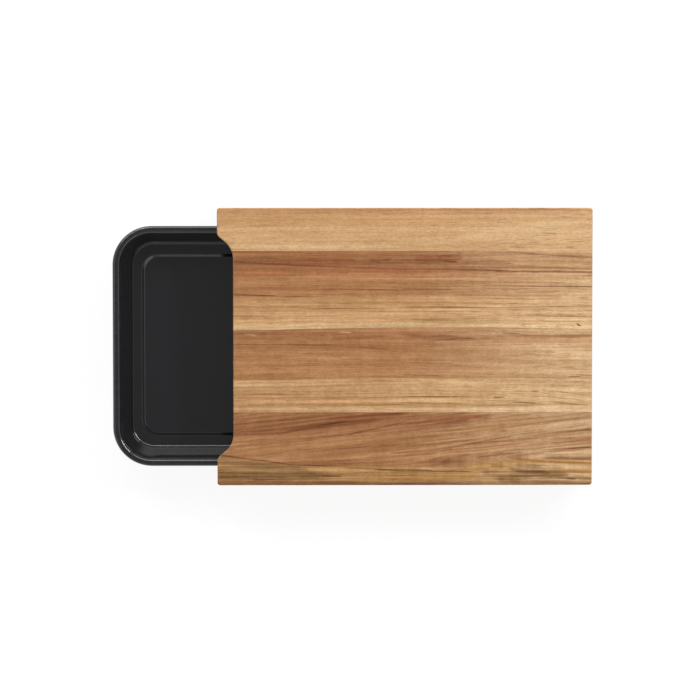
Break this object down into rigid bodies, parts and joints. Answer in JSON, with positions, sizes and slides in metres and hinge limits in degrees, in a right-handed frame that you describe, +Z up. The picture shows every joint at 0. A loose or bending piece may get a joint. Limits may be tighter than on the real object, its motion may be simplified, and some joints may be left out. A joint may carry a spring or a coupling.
{
  "type": "cutting board with drawer tray",
  "caption": "Wooden cutting board on a rail frame, with a notch in one end and a black steel tray that slides out below it on rebates in the side rails.",
  "frame": {"origin": "on the table, under the middle of the whole object as it stands with its tray drawn part of the way out", "axes": "+Z up; +X along the board's grain, from the open end where the tray comes out to the closed end; +Y towards the rear side rail"},
  "size_m": [0.513, 0.296, 0.066],
  "materials": {
    "acacia_light": "oiled satin",
    "acacia_reddish": "oiled satin",
    "acacia_golden": "oiled satin",
    "acacia_dark": "oiled satin",
    "frame_acacia": "oiled satin",
    "dowel_beech": "plain turned wood",
    "tray_coating": "semi-matt black non-stick coating",
    "foot_rubber": "matt moulded",
    "screw_steel": "zinc plated"
  },
  "bodies": {
    "frame": {"board_stave_1": "acacia_light", "board_stave_2": "acacia_reddish", "board_stave_3": "acacia_golden", "board_stave_4": "acacia_dark", "rear_rail": "frame_acacia", "rear_rail_dowels": "dowel_beech", "rear_corner_dowels": "dowel_beech", "rear_left_foot": "foot_rubber", "rear_right_foot": "foot_rubber", "rear_foot_screws": "screw_steel", "front_rail": "frame_acacia", "front_rail_dowels": "dowel_beech", "front_corner_dowels": "dowel_beech", "front_left_foot": "foot_rubber", "front_right_foot": "foot_rubber", "front_foot_screws": "screw_steel", "end_rail": "frame_acacia", "end_rail_dowels": "dowel_beech"},
    "tray": {"drawer_tray": "tray_coating"}
  },
  "joints": [
    {"name": "tray_slide", "type": "slide", "parent": "frame", "child": "tray", "axis": [-1, 0, 0], "range_m": [-0.113, 0.21]}
  ]
}
